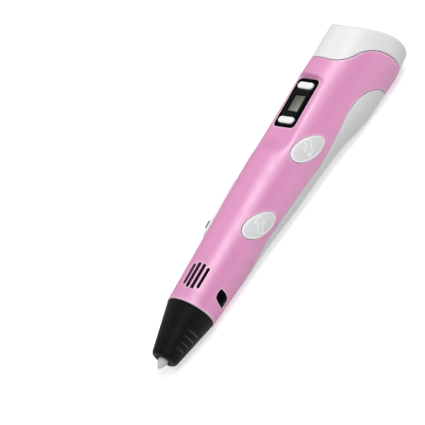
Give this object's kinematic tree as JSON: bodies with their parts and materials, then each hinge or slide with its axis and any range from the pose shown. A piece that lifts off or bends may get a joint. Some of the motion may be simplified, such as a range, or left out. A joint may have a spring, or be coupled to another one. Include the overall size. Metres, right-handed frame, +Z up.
{
  "type": "three d pen",
  "caption": "Handheld pen that feeds plastic filament to a heated nozzle: tapered pink and white casing, small display, oval feed keys and a side speed slider.",
  "frame": {"origin": "on the plane the pen rests on, under the middle of its bounding box", "axes": "+X from the nozzle towards the rear end, +Y towards the speed slider, +Z up, display side on top"},
  "size_m": [0.1838, 0.031, 0.039],
  "materials": {
    "pink_casing": "satin gloss ABS",
    "white_casing": "satin gloss ABS",
    "black_nose": "matt heat-resistant nylon",
    "ceramic": "unglazed white-grey ceramic",
    "steel": "plain steel",
    "brass": "plain brass",
    "mica": "mica and glass fibre",
    "black_bezel": "gloss black",
    "display_glass": "grey-green liquid crystal pane",
    "key_white": "satin white",
    "switch_black": "moulded black",
    "knob_grey": "moulded dark grey",
    "dark_lens": "dark tinted lens",
    "guide_white": "natural acetal",
    "frame_nylon": "moulded nylon",
    "aluminium": "turned",
    "board_green": "solder resist on glass fibre",
    "lead_red": "insulated wire",
    "lead_black": "insulated wire"
  },
  "bodies": {
    "casing": {"body_shell": "pink_casing", "belly_cover": "white_casing", "end_cap": "white_casing", "slider_plate": "white_casing", "nose_cone": "black_nose", "nozzle": "ceramic", "heat_barrel": "steel", "idler_pin": "steel", "motor_can": "steel", "drive_screw_1": "steel", "drive_screw_2": "steel", "board_screw_1": "steel", "board_screw_2": "steel", "cover_screw_1": "steel", "cover_screw_2": "steel", "heater_sleeve": "brass", "filament_inlet": "brass", "insulation_sleeve": "mica", "thermistor": "mica", "display_bezel": "black_bezel", "display_glass": "display_glass", "display_switch_rear": "switch_black", "display_switch_front": "switch_black", "feed_switch": "switch_black", "retract_switch": "switch_black", "slide_potentiometer": "switch_black", "dc_jack": "switch_black", "indicator_lens": "dark_lens", "indicator_led": "guide_white", "filament_guide": "guide_white", "drive_frame": "frame_nylon", "gearbox": "aluminium", "main_board": "board_green", "key_board": "board_green", "motor_lead_red": "lead_red", "jack_lead_red": "lead_red", "heater_lead_red": "lead_red", "motor_lead_black": "lead_black", "jack_lead_black": "lead_black", "heater_lead_black": "lead_black"},
    "feed_drive": {"feed_shaft": "steel", "feed_gear": "brass", "worm_wheel": "guide_white"},
    "worm_body": {"worm": "steel"},
    "idler": {"idler_roller": "steel"},
    "feed_key": {"feed_button": "key_white"},
    "retract_key": {"retract_button": "key_white"},
    "rear_display_key": {"display_button_rear": "key_white"},
    "front_display_key": {"display_button_front": "key_white"},
    "speed_knob": {"speed_slider": "knob_grey"}
  },
  "joints": [
    {"name": "feed_press", "type": "slide", "parent": "casing", "child": "feed_key", "axis": [0, 1, 0], "range_m": [0, 0.0007], "stiffness_N_per_m": 900},
    {"name": "retract_press", "type": "slide", "parent": "casing", "child": "retract_key", "axis": [0, 1, 0], "range_m": [0, 0.0007], "stiffness_N_per_m": 900},
    {"name": "rear_display_press", "type": "slide", "parent": "casing", "child": "rear_display_key", "axis": [0.1394, 0, -0.9902], "range_m": [0, 0.0005], "stiffness_N_per_m": 900},
    {"name": "front_display_press", "type": "slide", "parent": "casing", "child": "front_display_key", "axis": [0.1394, 0, -0.9902], "range_m": [0, 0.0005], "stiffness_N_per_m": 900},
    {"name": "speed_slide", "type": "slide", "parent": "casing", "child": "speed_knob", "axis": [0.9936, 0.0273, 0.1093], "range_m": [-0.0025, 0.0085]},
    {"name": "feed_spin", "type": "hinge", "parent": "casing", "child": "feed_drive", "pos_m": [0.00148, 0, 0.0154], "axis": [0, 1, 0], "continuous": true},
    {"name": "worm_spin", "type": "hinge", "parent": "casing", "child": "worm_body", "pos_m": [0.00226, 0.0033, 0.00989], "axis": [0.9902, 0, 0.1394], "continuous": true},
    {"name": "idler_spin", "type": "hinge", "parent": "casing", "child": "idler", "pos_m": [0.00024, 0, 0.02419], "axis": [0, 1, 0], "continuous": true}
  ],
  "couplings": [
    {"joint": "feed_spin", "follows": "worm_spin", "ratio": 0.071429},
    {"joint": "idler_spin", "follows": "worm_spin", "ratio": -0.095238}
  ]
}
